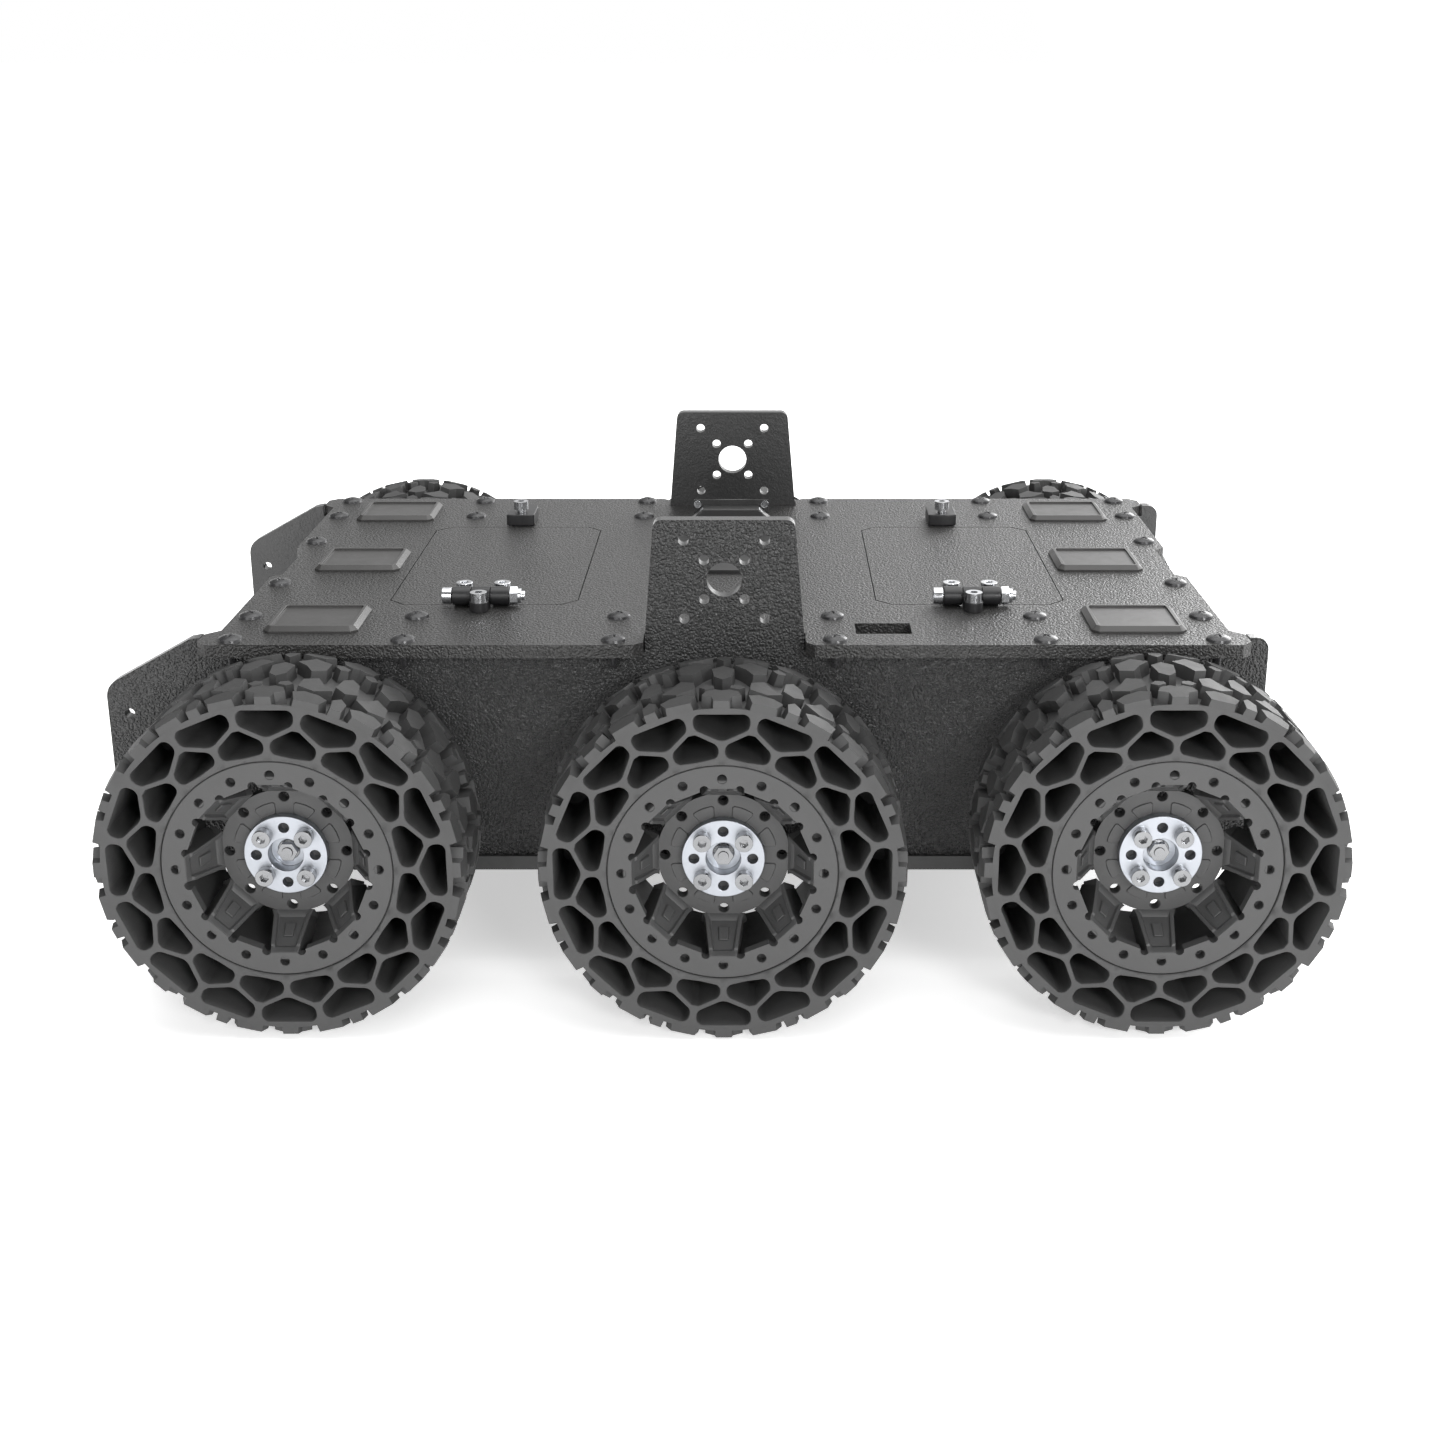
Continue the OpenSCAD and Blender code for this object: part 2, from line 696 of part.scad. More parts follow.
module rim(i) {
    barrel_back = 131;
    rim_holes = 16;
    rim_hole_ring = 38.35;
    web_holes = 8;
    web_hole_ring = 22.6;
    web_r = 26.5;
    spoke_w = 12;
    lid = ring_face - ring_t;
    color([0.22, 0.22, 0.22]) at_wheel(i) {
        rotate_extrude($fn = 96) translate([barrel_in, barrel_back])
            square([rim_r - barrel_in, lid - 0.05 - barrel_back]);
        difference() {
            union() {
                rotate_extrude($fn = 96) union() {
                    translate([ring_in, lid]) square([rim_r - ring_in, ring_t]);
                    translate([hub_boss_d / 2, web_out - web_t])
                        square([web_r - hub_boss_d / 2, web_t]);
                }
                for (k = [0 : spoke_count - 1]) rotate(k * 360 / spoke_count)
                    rotate([90, 0, 0]) translate([0, 0, -spoke_w / 2]) linear_extrude(spoke_w)
                        polygon([[19, web_out - web_t], [27, web_out - web_t],
                            [barrel_in - 1, web_out + 8], [barrel_in - 1, lid + 0.5],
                            [barrel_in + 0.6, lid + 0.5], [barrel_in + 0.6, ring_face - 1],
                            [ring_in, ring_face - 1], [web_r - 2, web_out], [19, web_out]]);
            }
            for (k = [0 : rim_holes - 1]) rotate(k * 360 / rim_holes)
                translate([rim_hole_ring, 0, lid - 1]) cylinder(d = 3.6, h = ring_t + 2);
            for (k = [0 : web_holes - 1]) rotate(k * 360 / web_holes)
                translate([web_hole_ring, 0, web_out - web_t - 1]) cylinder(d = 4, h = web_t + 2);
            for (k = [0 : 3]) rotate(45 + 90 * k)
                translate([hub_hole_ring, 0, web_out - web_t - 1]) cylinder(d = bolt_d, h = web_t + 2);
        }
    }
}

module hub(i) {
    boss_back = 146;
    recess_d = 13.5;
    recess = 5.5;
    color([0.78, 0.79, 0.81]) at_wheel(i) difference() {
        union() {
            translate([0, 0, web_out]) cylinder(d = hub_d, h = hub_face - web_out);
            translate([0, 0, boss_back]) cylinder(d = hub_boss_d - 0.1, h = web_out - boss_back);
        }
        translate([0, 0, hub_face - recess]) cylinder(d = recess_d, h = recess + 1);
        translate([0, 0, boss_back - 1]) cylinder(d = shaft_d + 2 * fit_gap, h = 20);
        for (k = [0 : 7]) rotate(45 * k)
            translate([hub_hole_ring, 0, web_out - 1]) cylinder(d = bolt_d, h = 6);
    }
}

module hub_screws(i) {
    nut_t = 3;
    color([0.8, 0.81, 0.83]) at_wheel(i) {
        for (k = [0 : 3]) rotate(45 + 90 * k)
            translate([hub_hole_ring, 0, hub_face]) cap_screw(bolt_d, hub_face - web_out + web_t);
        translate([0, 0, hub_face - 5.5]) difference() {
            hex_prism(nut_af, nut_t);
            translate([0, 0, -1]) cylinder(d = bolt_d, h = nut_t + 2);
        }
    }
}

module shaft(i) {
    inner_end = wall_in - mount_t - 10;
    shoulder = hub_face - 5.5;
    color([0.75, 0.76, 0.78]) at_wheel(i) {
        translate([0, 0, inner_end]) cylinder(d = shaft_d, h = shoulder - inner_end);
        translate([0, 0, shoulder - 0.01]) cylinder(d = bolt_d, h = 3.6);
    }
}

deck_plate();
bottom_plate();
side_plate_left();
side_plate_right();
front_panel();
rear_panel();
corner_rails();
deck_pads();
deck_screws();
hull_screws();
hatch_front();
hatch_rear();
hinge_leaves_front();
hinge_leaves_rear();
hinge_bases();
hinge_bolts();
leaf_screws_front();
leaf_screws_rear();
base_screws();
latch_front();
latch_rear();
latch_screws();
module_bracket();
module_case();
axle_bearings();
gear_motors();
motor_mounts();
battery();
control_board();
wire_harness();
for (i = [0 : 5]) {
    tyre(i);
    rim(i);
    hub(i);
    hub_screws(i);
    shaft(i);
}
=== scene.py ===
import json
import math
from math import cos, pi, radians, sin

import bpy
import bmesh
from mathutils import Matrix, Vector
from mathutils.geometry import delaunay_2d_cdt


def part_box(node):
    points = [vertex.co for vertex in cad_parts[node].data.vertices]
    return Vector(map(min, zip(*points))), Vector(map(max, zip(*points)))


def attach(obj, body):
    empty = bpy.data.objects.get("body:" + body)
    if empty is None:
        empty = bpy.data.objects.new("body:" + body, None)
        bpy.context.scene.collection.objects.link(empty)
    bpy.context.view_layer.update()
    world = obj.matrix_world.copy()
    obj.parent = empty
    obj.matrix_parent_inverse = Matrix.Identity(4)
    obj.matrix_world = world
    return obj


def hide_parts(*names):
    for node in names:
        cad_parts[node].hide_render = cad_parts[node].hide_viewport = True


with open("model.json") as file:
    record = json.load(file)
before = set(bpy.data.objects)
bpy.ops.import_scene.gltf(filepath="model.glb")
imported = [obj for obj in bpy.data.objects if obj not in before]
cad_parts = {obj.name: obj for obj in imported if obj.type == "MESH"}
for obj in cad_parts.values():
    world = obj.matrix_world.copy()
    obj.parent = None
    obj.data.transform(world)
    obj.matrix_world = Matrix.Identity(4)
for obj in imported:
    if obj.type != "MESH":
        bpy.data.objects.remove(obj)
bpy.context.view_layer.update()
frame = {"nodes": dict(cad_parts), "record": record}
nodes = frame["nodes"]
WHEELS = ["left_front", "left_middle", "left_rear", "right_front", "right_middle", "right_rear"]
MM = 0.001


# ---- Materials ----

def new_material(name):
    mat = bpy.data.materials.new(name)
    mat.use_nodes = True
    tree = mat.node_tree
    shader = next(n for n in tree.nodes if n.type == "BSDF_PRINCIPLED")
    return mat, tree, shader


def link(tree, a, b):
    tree.links.new(a, b)


def place(tree, stretch=(1, 1, 1)):
    """Object coordinates in metres, stretched per axis."""
    coords = tree.nodes.new("ShaderNodeTexCoord")
    mapping = tree.nodes.new("ShaderNodeMapping")
    mapping.inputs["Scale"].default_value = stretch
    link(tree, coords.outputs["Object"], mapping.inputs["Vector"])
    return mapping.outputs["Vector"]


def noise(tree, vector, scale, detail=3.0, rough=0.5, distortion=0.0):
    node = tree.nodes.new("ShaderNodeTexNoise")
    node.inputs["Scale"].default_value = scale
    node.inputs["Detail"].default_value = detail
    node.inputs["Roughness"].default_value = rough
    node.inputs["Distortion"].default_value = distortion
    link(tree, vector, node.inputs["Vector"])
    return node.outputs["Fac"]


def ramp(tree, value, low, high, out_low, out_high):
    node = tree.nodes.new("ShaderNodeMapRange")
    node.inputs["From Min"].default_value = low
    node.inputs["From Max"].default_value = high
    node.inputs["To Min"].default_value = out_low
    node.inputs["To Max"].default_value = out_high
    link(tree, value, node.inputs["Value"])
    return node.outputs["Result"]


def mix_colour(tree, factor, a, b):
    node = tree.nodes.new("ShaderNodeMix")
    node.data_type = "RGBA"
    node.inputs[6].default_value = (*a, 1)
    node.inputs[7].default_value = (*b, 1)
    link(tree, factor, node.inputs[0])
    return node.outputs[2]


def bump(tree, height, distance, strength=1.0, normal=None):
    node = tree.nodes.new("ShaderNodeBump")
    node.inputs["Strength"].default_value = strength
    node.inputs["Distance"].default_value = distance
    link(tree, height, node.inputs["Height"])
    if normal is not None:
        link(tree, normal, node.inputs["Normal"])
    return node.outputs["Normal"]


def plastic(name, dark, light, rough, grain=0.0, grain_scale=900.0, smear=0.06, specular=0.5):
    """Moulded plastic: faint colour clouds, uneven gloss and a fine grain."""
    mat, tree, shader = new_material(name)
    at = place(tree)
    clouds = noise(tree, at, 40.0, 4.0, 0.6)
    link(tree, mix_colour(tree, clouds, dark, light), shader.inputs["Base Color"])
    smudges = noise(tree, at, 90.0, 5.0, 0.65, 0.4)
    link(tree, ramp(tree, smudges, 0.3, 0.7, rough - smear, rough + smear), shader.inputs["Roughness"])
    shader.inputs["Specular IOR Level"].default_value = specular
    if grain > 0:
        fine = noise(tree, at, grain_scale, 2.0, 0.5)
        link(tree, bump(tree, fine, grain), shader.inputs["Normal"])
    return mat


SMOOTH_STRENGTH = 0.08  # what is left of the grain on the faces that have none
GRAINED_BEYOND_Y = 0.1148  # just inside the outer faces of the side plates, in metres


def haircell(name, dark, light, rough, cell, depth, ridge, specular=0.5, faces=None):
    """Leather-grained sheet plastic. With faces, only what lies beyond |y| = faces is grained."""
    mat, tree, shader = new_material(name)
    at = place(tree)
    warp = tree.nodes.new("ShaderNodeTexNoise")
    warp.inputs["Scale"].default_value = 0.6 / cell
    warp.inputs["Detail"].default_value = 2.0
    link(tree, at, warp.inputs["Vector"])
    centred = tree.nodes.new("ShaderNodeVectorMath")
    centred.operation = "SUBTRACT"
    link(tree, warp.outputs["Color"], centred.inputs[0])
    centred.inputs[1].default_value = (0.5, 0.5, 0.5)
    scaled = tree.nodes.new("ShaderNodeVectorMath")
    scaled.operation = "SCALE"
    scaled.inputs["Scale"].default_value = cell * 1.6
    link(tree, centred.outputs["Vector"], scaled.inputs[0])
    moved = tree.nodes.new("ShaderNodeVectorMath")
    moved.operation = "ADD"
    link(tree, at, moved.inputs[0])
    link(tree, scaled.outputs["Vector"], moved.inputs[1])
    pebbles = tree.nodes.new("ShaderNodeTexVoronoi")
    pebbles.feature = "SMOOTH_F1"
    pebbles.inputs["Scale"].default_value = 1.0 / cell
    pebbles.inputs["Smoothness"].default_value = 0.6
    link(tree, moved.outputs["Vector"], pebbles.inputs["Vector"])
    domes = ramp(tree, pebbles.outputs["Distance"], 0.1, 0.75, 1.0, 0.0)
    swell = noise(tree, at, 0.35 / cell, 2.0, 0.5)
    fine = noise(tree, at, 3.0 / cell, 3.0, 0.6)
    low = bump(tree, swell, depth * 1.5, ridge)
    mid = bump(tree, domes, depth, 1.0, low)
    top = bump(tree, fine, depth * 0.25, 1.0, mid)
    if faces:
        split = tree.nodes.new("ShaderNodeSeparateXYZ")
        link(tree, at, split.inputs["Vector"])
        outward = tree.nodes.new("ShaderNodeMath")
        outward.operation = "ABSOLUTE"
        link(tree, split.outputs["Y"], outward.inputs[0])
        grained = tree.nodes.new("ShaderNodeMath")
        grained.operation = "GREATER_THAN"
        link(tree, outward.outputs["Value"], grained.inputs[0])
        grained.inputs[1].default_value = faces
        for node in (n for n in tree.nodes if n.type == "BUMP"):
            full = node.inputs["Strength"].default_value
            strength = ramp(tree, grained.outputs["Value"], 0.0, 1.0, SMOOTH_STRENGTH, full)
            link(tree, strength, node.inputs["Strength"])
    link(tree, top, shader.inputs["Normal"])
    clouds = noise(tree, at, 30.0, 4.0, 0.6)
    link(tree, mix_colour(tree, clouds, dark, light), shader.inputs["Base Color"])
    link(tree, ramp(tree, fine, 0.3, 0.7, rough - 0.05, rough + 0.07), shader.inputs["Roughness"])
    shader.inputs["Specular IOR Level"].default_value = specular
    return mat


def metal(name, dark, light, rough, brushed=(1, 1, 1), scale=600.0, metallic=1.0):
    """Metal with fine streaks, which brushed draws out along an axis. A low metallic is a black finish."""
    mat, tree, shader = new_material(name)
    at = place(tree, brushed)
    streaks = noise(tree, at, scale, 3.0, 0.6)
    clouds = noise(tree, at, scale / 12, 3.0, 0.5)
    link(tree, mix_colour(tree, clouds, dark, light), shader.inputs["Base Color"])
    link(tree, ramp(tree, streaks, 0.25, 0.75, rough - 0.06, rough + 0.08), shader.inputs["Roughness"])
    link(tree, bump(tree, streaks, 0.00002), shader.inputs["Normal"])
    shader.inputs["Metallic"].default_value = metallic
    return mat


def rubber(name, dark, light):
    """Moulded tyre rubber: matte, faintly dusty and mottled."""
    mat, tree, shader = new_material(name)
    at = place(tree)
    clouds = noise(tree, at, 70.0, 5.0, 0.62, 0.5)
    link(tree, mix_colour(tree, clouds, dark, light), shader.inputs["Base Color"])
    link(tree, ramp(tree, clouds, 0.3, 0.7, 0.62, 0.5), shader.inputs["Roughness"])
    fine = noise(tree, at, 1400.0, 3.0, 0.6)
    soft = noise(tree, at, 180.0, 3.0, 0.5)
    low = bump(tree, soft, 0.00025, 0.5)
    link(tree, bump(tree, fine, 0.00004, 1.0, low), shader.inputs["Normal"])
    shader.inputs["Specular IOR Level"].default_value = 0.4
    return mat


DECK = haircell("deck_plastic", (0.020, 0.0195, 0.019), (0.028, 0.0275, 0.027), 0.34, 0.0010, 0.00034, 0.3)
SIDE = haircell("side_plastic", (0.020, 0.020, 0.020), (0.034, 0.034, 0.034), 0.30, 0.00105, 0.00095, 0.12,
                0.7, GRAINED_BEYOND_Y)
HULL = plastic("hull_plastic", (0.026, 0.026, 0.026), (0.034, 0.034, 0.034), 0.45, 0.00003)
PAD = plastic("pad_plastic", (0.036, 0.035, 0.034), (0.044, 0.043, 0.042), 0.34, 0.00002, 1500.0)
BLACK = plastic("hinge_plastic", (0.010, 0.010, 0.011), (0.016, 0.016, 0.017), 0.38, 0.00002, 1500.0)
MODULE = plastic("module_plastic", (0.022, 0.022, 0.022), (0.030, 0.030, 0.030), 0.35, 0.00002, 1500.0)
RIM = plastic("rim_plastic", (0.047, 0.047, 0.047), (0.058, 0.058, 0.058), 0.5, 0.00003, 1300.0)
TYRE = rubber("tyre_rubber", (0.047, 0.047, 0.047), (0.064, 0.064, 0.064))
# A darker copy of the tyre's rubber, which is painted shade on the tread blocks.
TREAD_PAINTED_SHADE = rubber("tread_rubber_painted_shade", (0.026, 0.026, 0.026), (0.044, 0.044, 0.044))
HUB = metal("hub_aluminium", (0.36, 0.378, 0.41), (0.44, 0.458, 0.49), 0.36, scale=900.0)
ALU = metal("plain_aluminium", (0.55, 0.56, 0.58), (0.68, 0.69, 0.70), 0.34, scale=500.0)
STEEL = metal("steel_screws", (0.20, 0.203, 0.208), (0.30, 0.303, 0.31), 0.2, scale=1200.0)
CHROME = metal("bright_screws", (0.62, 0.63, 0.65), (0.74, 0.75, 0.77), 0.16, scale=900.0)
MOTOR = metal("motor_steel", (0.45, 0.45, 0.46), (0.58, 0.58, 0.6), 0.32, (0.3, 0.3, 1), 500.0)
DARK_SCREW = metal("black_screws", (0.030, 0.030, 0.031), (0.046, 0.046, 0.048), 0.28, scale=900.0,
                   metallic=0.35)
WRAP = plastic("battery_wrap", (0.02, 0.06, 0.2), (0.03, 0.08, 0.25), 0.25, 0.0001, 250.0)
BOARD = plastic("board", (0.008, 0.09, 0.035), (0.012, 0.12, 0.05), 0.3, 0.00003)
WIRE = plastic("wire_skin", (0.25, 0.01, 0.01), (0.32, 0.015, 0.015), 0.5, 0.00002)
BY_SLOT = {
    "deck_plastic": DECK, "side_plastic": SIDE, "hull_plastic": HULL, "pad_plastic": PAD,
    "hinge_plastic": BLACK, "module_plastic": MODULE, "rim_plastic": RIM, "tyre_rubber": TYRE,
    "hub_aluminium": HUB, "plain_aluminium": ALU, "steel_screws": STEEL, "motor_steel": MOTOR,
    "black_screws": DARK_SCREW, "battery_wrap": WRAP, "board": BOARD, "wire_skin": WIRE,
}


def bevel_edges(obj, width, angle):
    """Rounds the edges that are sharper than the angle."""
    edge = obj.modifiers.new("edge", "BEVEL")
    edge.width = width
    edge.segments = 2
    edge.limit_method = "ANGLE"
    edge.angle_limit = radians(angle)


def dress(node, slot, bevel=0.0):
    """Gives a CAD node its material and rounds its edges a little."""
    obj = nodes[node]
    obj.data.materials.clear()
    obj.data.materials.append(BY_SLOT[slot])
    if bevel > 0:
        weld = obj.modifiers.new("weld", "WELD")
        weld.merge_threshold = 1e-6
        merge = obj.modifiers.new("merge", "DECIMATE")
        merge.decimate_type = "DISSOLVE"
        merge.angle_limit = radians(0.3)
        bevel_edges(obj, bevel, 28)
        normals = obj.modifiers.new("normals", "WEIGHTED_NORMAL")
        normals.keep_sharp = False
        obj.data.polygons.foreach_set("use_smooth", [True] * len(obj.data.polygons))


BRIGHT = ("latch_screws", "hinge_bolts", "base_screws", "leaf_screws_front", "leaf_screws_rear")
BEVELS = {
    "deck_plate": 0.0005, "bottom_plate": 0.0005, "side_plate_left": 0.0007, "side_plate_right": 0.0007,
    "front_panel": 0.0004, "rear_panel": 0.0004,
    "hinge_leaves_front": 0.0003, "hinge_leaves_rear": 0.0003, "hinge_bases": 0.0003,
    "hinge_bolts": 0.00025, "leaf_screws_front": 0.00025, "leaf_screws_rear": 0.00025,
    "base_screws": 0.0002, "latch_front": 0.0005, "latch_rear": 0.0005, "latch_screws": 0.0003,
    "module_bracket": 0.0003, "module_case": 0.0007,
}
for part in frame["record"]["subparts"]:
    name = part["node"]
    slot = part["material_slot"]
    bevel = BEVELS.get(name, 0.0003 if name.startswith(("hub_left", "hub_right", "hub_screws")) else 0.0)
    dress(name, slot, bevel)
    if name in BRIGHT:
        nodes[name].data.materials[0] = CHROME


# ---- Mesh helpers, in millimetres ----

def polar(r, degrees):
    return Vector((r * cos(radians(degrees)), r * sin(radians(degrees))))


def circle(r, count, centre=(0.0, 0.0), start=0.0):
    return [Vector(centre) + polar(r, start + 360 * k / count) for k in range(count)]


def turned(points, degrees):
    c, s = cos(radians(degrees)), sin(radians(degrees))
    return [Vector((p.x * c - p.y * s, p.x * s + p.y * c)) for p in points]


def rounded(points, radii, steps=5):
    """Rounds each corner of an outline to its radius."""
    out = []
    n = len(points)
    for i, p in enumerate(points):
        a = points[i - 1] - p
        b = points[(i + 1) % n] - p
        la, lb = a.length, b.length
        a, b = a / la, b / lb
        half = math.acos(max(-1, min(1, a.dot(b)))) / 2
        reach = min(radii[i] / math.tan(half), 0.48 * la, 0.48 * lb)
        r = reach * math.tan(half)
        centre = p + (a + b).normalized() * (r / sin(half))
        start = p + a * reach - centre
        end = p + b * reach - centre
        for k in range(steps + 1):
            t = k / steps
            v = start.lerp(end, t)
            out.append(centre + v.normalized() * r)
    return out


def grown(points, by):
    """Moves an outline's points away from its middle by the given distance."""
    middle = sum(points, Vector((0, 0))) / len(points)
    return [p + (p - middle).normalized() * by for p in points]


def flat_face(loops):
    """Triangles of an area bounded by an outer loop and holes, as points and faces."""
    points, edges = [], []
    for loop in loops:
        base = len(points)
        points += [Vector((p.x, p.y)) for p in loop]
        edges += [(base + k, base + (k + 1) % len(loop)) for k in range(len(loop))]
    verts, _, faces, *_ = delaunay_2d_cdt(points, edges, [], 0, 1e-5)

    def inside(x, y):
        hit = False
        for loop in loops:
            for k in range(len(loop)):
                p, q = loop[k - 1], loop[k]
                if (p.y > y) != (q.y > y) and x < (q.x - p.x) * (y - p.y) / (q.y - p.y) + p.x:
                    hit = not hit
        return hit

    kept = []
    for f in faces:
        middle = sum((verts[i] for i in f), Vector((0, 0))) / len(f)
        if inside(middle.x, middle.y):
            kept.append(tuple(f))
    return [(v.x, v.y) for v in verts], kept


class Shape:
    """Collects points and faces in millimetres."""

    def __init__(self):
        self.verts = []
        self.faces = []

    def add(self, verts, faces):
        base = len(self.verts)
        self.verts += [tuple(v) for v in verts]
        self.faces += [tuple(base + i for i in f) for f in faces]

    def sheet(self, loops, z):
        points, faces = flat_face(loops)
        self.add([(x, y, z) for x, y in points], faces)

    def strip(self, low, high, closed=True):
        """A band of quads between two rows of 3-D points."""
        n = len(low)
        last = n if closed else n - 1
        self.add(list(low) + list(high),
                 [(k, (k + 1) % n, n + (k + 1) % n, n + k) for k in range(last)])

    def wall(self, loop, z0, z1, other=None):
        other = other or loop
        self.strip([(p.x, p.y, z0) for p in loop], [(p.x, p.y, z1) for p in other])

    def lathe(self, profile, count):
        """Turns (radius, z) points around z."""
        rows = [[(*polar(r, 360 * k / count), z) for k in range(count)] for r, z in profile]
        for a, b in zip(rows, rows[1:]):
            self.strip(a, b)

    def cap(self, loop, z):
        self.add([(p.x, p.y, z) for p in loop], [tuple(range(len(loop)))])

    def object(self, name, material, sharp=35.0, bevel=0.0):
        mesh = bpy.data.meshes.new(name)
        mesh.from_pydata([Vector(v) * MM for v in self.verts], [], self.faces)
        bm = bmesh.new()
        bm.from_mesh(mesh)
        bmesh.ops.remove_doubles(bm, verts=bm.verts, dist=2e-6)
        bmesh.ops.recalc_face_normals(bm, faces=bm.faces)
        bm.to_mesh(mesh)
        bm.free()
        mesh.polygons.foreach_set("use_smooth", [True] * len(mesh.polygons))
        mesh.set_sharp_from_angle(angle=radians(sharp))
        mesh.materials.append(material)
        obj = bpy.data.objects.new(name, mesh)
        bpy.context.scene.collection.objects.link(obj)
        if bevel > 0:
            bevel_edges(obj, bevel, 35)
        return obj


# ---- Tyre, around the z axis, its outer face at z = 0 ----

TYRE_R = 70.5
TREAD_BASE_R = 65.3  # where the blocks start, inside the carcass
RIM_R = 43.9
CELLS = 16
CELL_DEPTH = 36
PATTERN_WIDTH = 54.5  # the width of tyre that the blocks' outlines are drawn for
MM_PER_DEGREE = 1.2  # around the tread
SOFT = 0.25  # how far the edges of cells and holes are chamfered


def outer_cell():
    corners = [(63.9, -10.7), (63.9, 10.7), (58.0, 10.4), (53.2, 0), (58.0, -10.4)]
    return rounded([Vector(p) for p in corners], [3.6, 3.6, 3.4, 5.0, 3.4], 6)


def inner_cell():
    corners = [(45.9, 0), (46.3, 7.9), (50.9, 8.9), (56.6, 1.3), (56.6, -1.3), (50.9, -8.9), (46.3, -7.9)]
    return rounded([Vector(p) for p in corners], [9.0, 2.6, 3.4, 1.6, 1.6, 3.4, 2.6], 6)


def lug(shape, outline, width):
    """One tread block: an outline in degrees and mm across the tyre, raised to the tread's surface."""
    middle = sum((Vector(p) for p in outline), Vector((0, 0))) / len(outline)
    at_face = width / 2 - 0.1
    outline = [(middle.x + (a - middle.x) * 0.9, w if abs(w) > at_face else middle.y + (w - middle.y) * 0.93)
               for a, w in outline]
    low, high = [], []
    for angle, across in outline:
        spread = Vector(((angle - middle.x) * MM_PER_DEGREE, across - middle.y)).normalized() * 0.9
        wide = max(-width / 2 + 0.05, min(width / 2 - 0.05, across + spread.y))
        drop = max(0.0, abs(across) - width * 0.36) ** 2 * 0.022
        z = -width / 2
        low.append((*polar(TREAD_BASE_R, angle + spread.x / MM_PER_DEGREE), wide + z))
        high.append((*polar(TYRE_R - drop, angle), across + z))
    n = len(outline)
    sides = [(k, (k + 1) % n, n + (k + 1) % n, n + k) for k in range(n)]
    shape.add(low + high, [tuple(range(n, 2 * n))] + sides)


def tread(width):
    """The outlines of all tread blocks, as degrees around the tyre and mm across it."""
    edge = width / 2 - 0.05
    s = width / PATTERN_WIDTH
    half = [
        [(2.2, 14.8), (5.2, 16.6), (7.2, 13.6), (5.2, 10.8), (2.6, 12.2)],
        [(8.0, 15.2), (14.0, 18.6), (19.4, 13.0), (15.6, 8.5), (13.0, 2.6), (8.4, 6.5)],
        [(9.0, edge / s), (17.6, edge / s), (19.4, 23.2), (16.2, 20.8), (11.2, 19.6), (7.6, 21.8)],
    ]
    middle = [
        [(-2.7, edge / s), (2.7, edge / s), (3.3, 24.4), (6.6, 22.4), (5.4, 18.4), (2.3, 16.9), (0, 18.0),
         (-2.3, 16.9), (-5.4, 18.4), (-6.6, 22.4), (-3.3, 24.4)],
    ]
    far = [
        [(20.5, edge / s), (24.5, edge / s), (24.9, 21.5), (22.5, 17.5), (20.1, 21.5)],
        [(22.5, 12.2), (26.4, 8.5), (25.4, -2.0), (22.5, -6.0), (19.6, -2.0), (18.6, 8.5)],
    ]
    out = []
    for k in range(8):
        for flip, shift in ((1, 0.0), (-1, 22.5)):
            for block in half:
                for mirror in (1, -1):
                    out.append([(shift + 45 * k + mirror * a, flip * w * s) for a, w in block])
            for block in middle + far:
                out.append([(shift + 45 * k + a, flip * w * s) for a, w in block])
    return out


def tyre_shape(width):
    shape = Shape()
    cells = []
    for k in range(CELLS):
        cells.append(turned(outer_cell(), 360 * k / CELLS))
        cells.append(turned(inner_cell(), 360 * (k + 0.5) / CELLS))
    side_r = 66.4
    shape.sheet([circle(side_r, 128), circle(RIM_R + 0.3, 96)] + [grown(c, SOFT) for c in cells], 0)
    for c in cells:
        floor = grown(c, -0.5)
        shape.wall(grown(c, SOFT), 0, -SOFT, c)
        shape.wall(c, -SOFT, -CELL_DEPTH, floor)
        shape.cap(floor, -CELL_DEPTH)
    outside = [(side_r, 0), (side_r - 0.3, -0.8), (65.4, -4.0), (65.4, 4.0 - width),
               (side_r - 0.3, 0.8 - width)]
    inside = [(side_r, -width), (RIM_R + 0.3, -width), (RIM_R, -width + 0.4), (RIM_R, -0.4), (RIM_R + 0.3, 0)]
    shape.lathe(outside + inside, 128)
    return shape


# ---- Rim, around the z axis, its ring face at z = 0 ----

SPOKES = 8
PITCH = 360 / SPOKES
RING_HOLES = 16
RING_HOLE_DEPTH = 7
WEB_THICK = 5


def ring_inner_edge():
    """The ring's inner edge: a flat pad between two spokes, with a round notch at each end."""
    points = []
    for k in range(SPOKES):
        notches = []
        for notch_at in (PITCH / 2 - 11.4, PITCH / 2 + 11.4):
            notch = polar(34.5, notch_at)
            notches.append([polar(1.75, notch_at + a) + notch for a in range(-80, 81, 20)])
        pad = [polar(33.7 / cos(radians(a)), PITCH / 2 + a) for a in (-8.5, -4, 0, 4, 8.5)]
        points += turned(notches[0] + pad + notches[1], PITCH * k)
    return points


